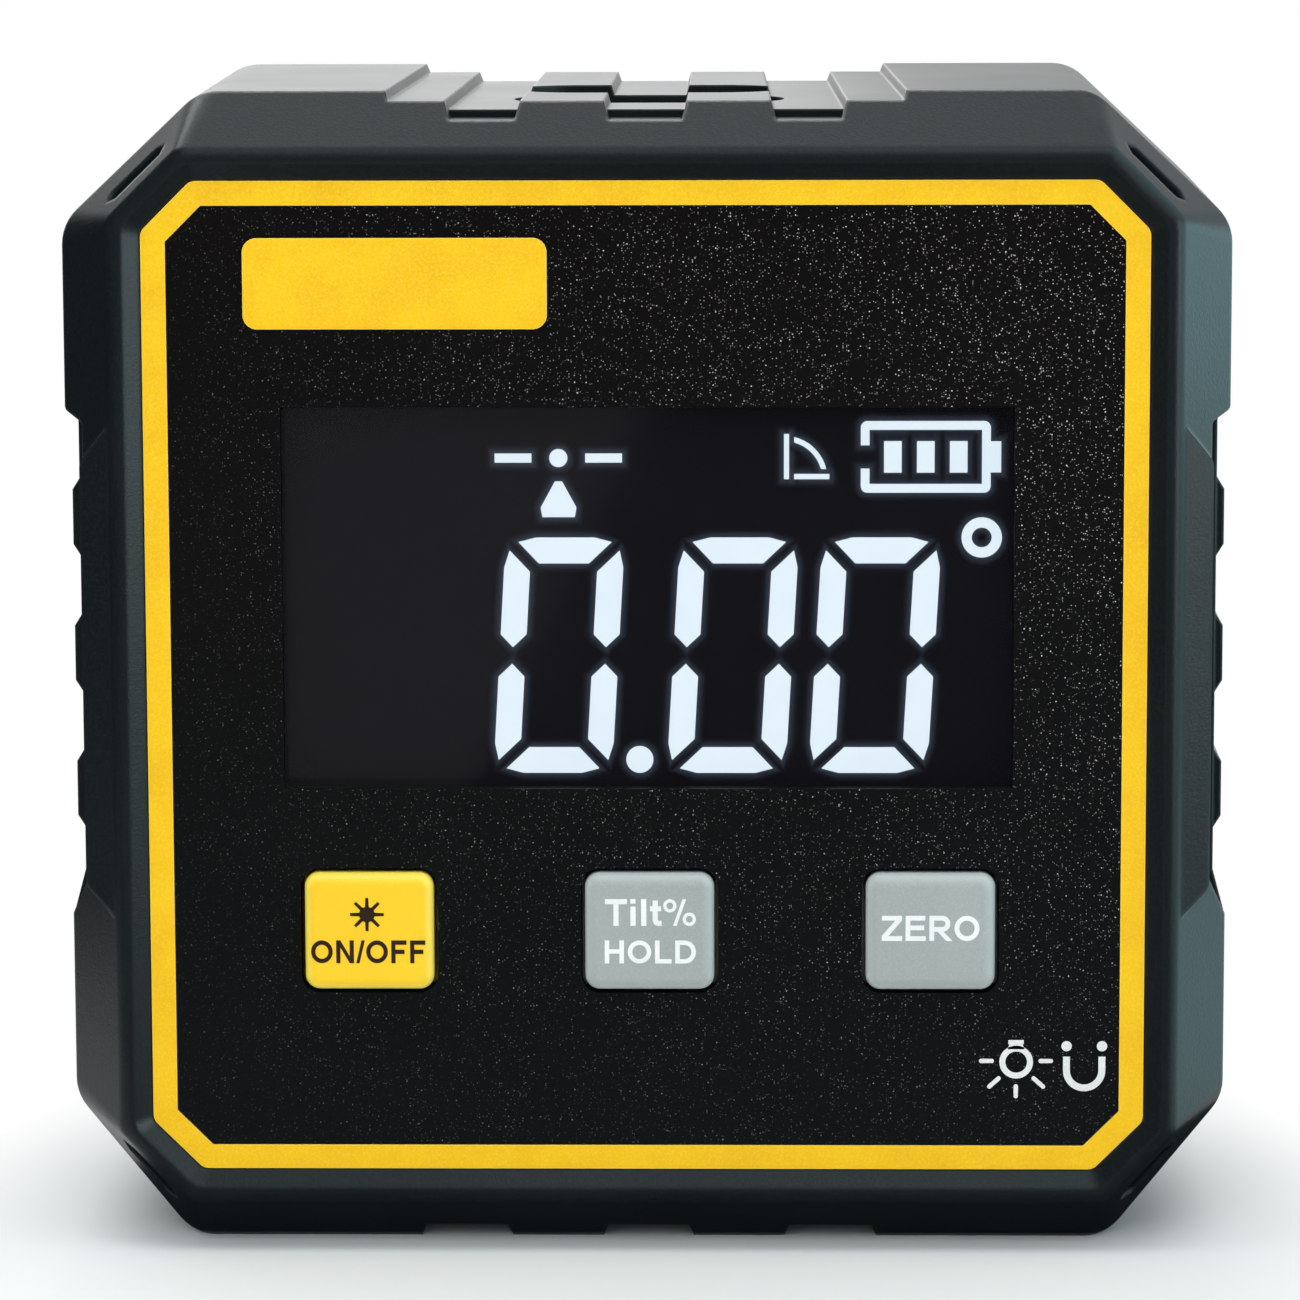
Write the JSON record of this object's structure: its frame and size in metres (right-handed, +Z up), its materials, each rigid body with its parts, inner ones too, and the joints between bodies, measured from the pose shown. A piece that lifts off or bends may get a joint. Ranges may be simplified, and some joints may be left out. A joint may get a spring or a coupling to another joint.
{
  "type": "digital laser level",
  "caption": "Square pocket digital laser level with cut corners, ribbed grips, magnetic base, front display, three push keys and a laser window on top.",
  "frame": {"origin": "middle of the base, on the surface it stands on", "axes": "+Z up, +X to the right when the display is read, the display faces -Y"},
  "size_m": [0.062, 0.032, 0.062],
  "materials": {
    "housing_plastic": "fine-grained satin moulding",
    "yellow_plastic": "satin",
    "panel_black": "glossy film with fine sparkle",
    "display_glass": "dark tinted, polished",
    "lit_segments": "lit from behind",
    "cell_glass": "black, smooth",
    "diffuser": "frosted",
    "inner_plastic": "plain moulding",
    "circuit_board": "solder mask",
    "chip_resin": "moulded resin",
    "socket_plastic": "plain moulding",
    "switch_plastic": "plain moulding",
    "steel": "bright",
    "laser_glass": "dark tinted, polished",
    "lens_glass": "polished",
    "brass": "turned",
    "battery_foil": "matt pouch foil",
    "lead_rubber": "insulated wire",
    "key_yellow": "satin",
    "key_grey": "satin",
    "nickel": "nickel plate"
  },
  "bodies": {
    "housing": {"front_bezel": "housing_plastic", "rear_housing": "housing_plastic", "trim_ring": "yellow_plastic", "face_panel": "panel_black", "badge": "yellow_plastic", "display_window": "display_glass", "display_segments": "lit_segments", "lcd_cell": "cell_glass", "light_guide": "diffuser", "lcd_tray": "inner_plastic", "main_board": "circuit_board", "controller_chip": "chip_resin", "tilt_sensor": "chip_resin", "power_socket": "socket_plastic", "laser_socket": "socket_plastic", "housing_screws": "steel", "laser_window": "laser_glass", "laser_barrel": "brass", "line_lens": "lens_glass", "laser_diode": "steel", "laser_holder": "inner_plastic", "battery": "battery_foil", "charge_board": "circuit_board", "usb_port": "steel", "battery_socket": "socket_plastic", "battery_lead": "lead_rubber", "board_lead": "lead_rubber", "laser_lead": "lead_rubber", "power_switch": "switch_plastic", "hold_switch": "switch_plastic", "zero_switch": "switch_plastic", "base_magnet_1": "nickel", "base_magnet_2": "nickel"},
    "power_button": {"power_key": "key_yellow", "power_plunger": "inner_plastic"},
    "hold_button": {"hold_key": "key_grey", "hold_plunger": "inner_plastic"},
    "zero_button": {"zero_key": "key_grey", "zero_plunger": "inner_plastic"}
  },
  "joints": [
    {"name": "power_press", "type": "slide", "parent": "housing", "child": "power_button", "axis": [0, 1, 0], "range_m": [0, 0.0004], "stiffness_N_per_m": 2500},
    {"name": "hold_press", "type": "slide", "parent": "housing", "child": "hold_button", "axis": [0, 1, 0], "range_m": [0, 0.0004], "stiffness_N_per_m": 2500},
    {"name": "zero_press", "type": "slide", "parent": "housing", "child": "zero_button", "axis": [0, 1, 0], "range_m": [0, 0.0004], "stiffness_N_per_m": 2500}
  ]
}
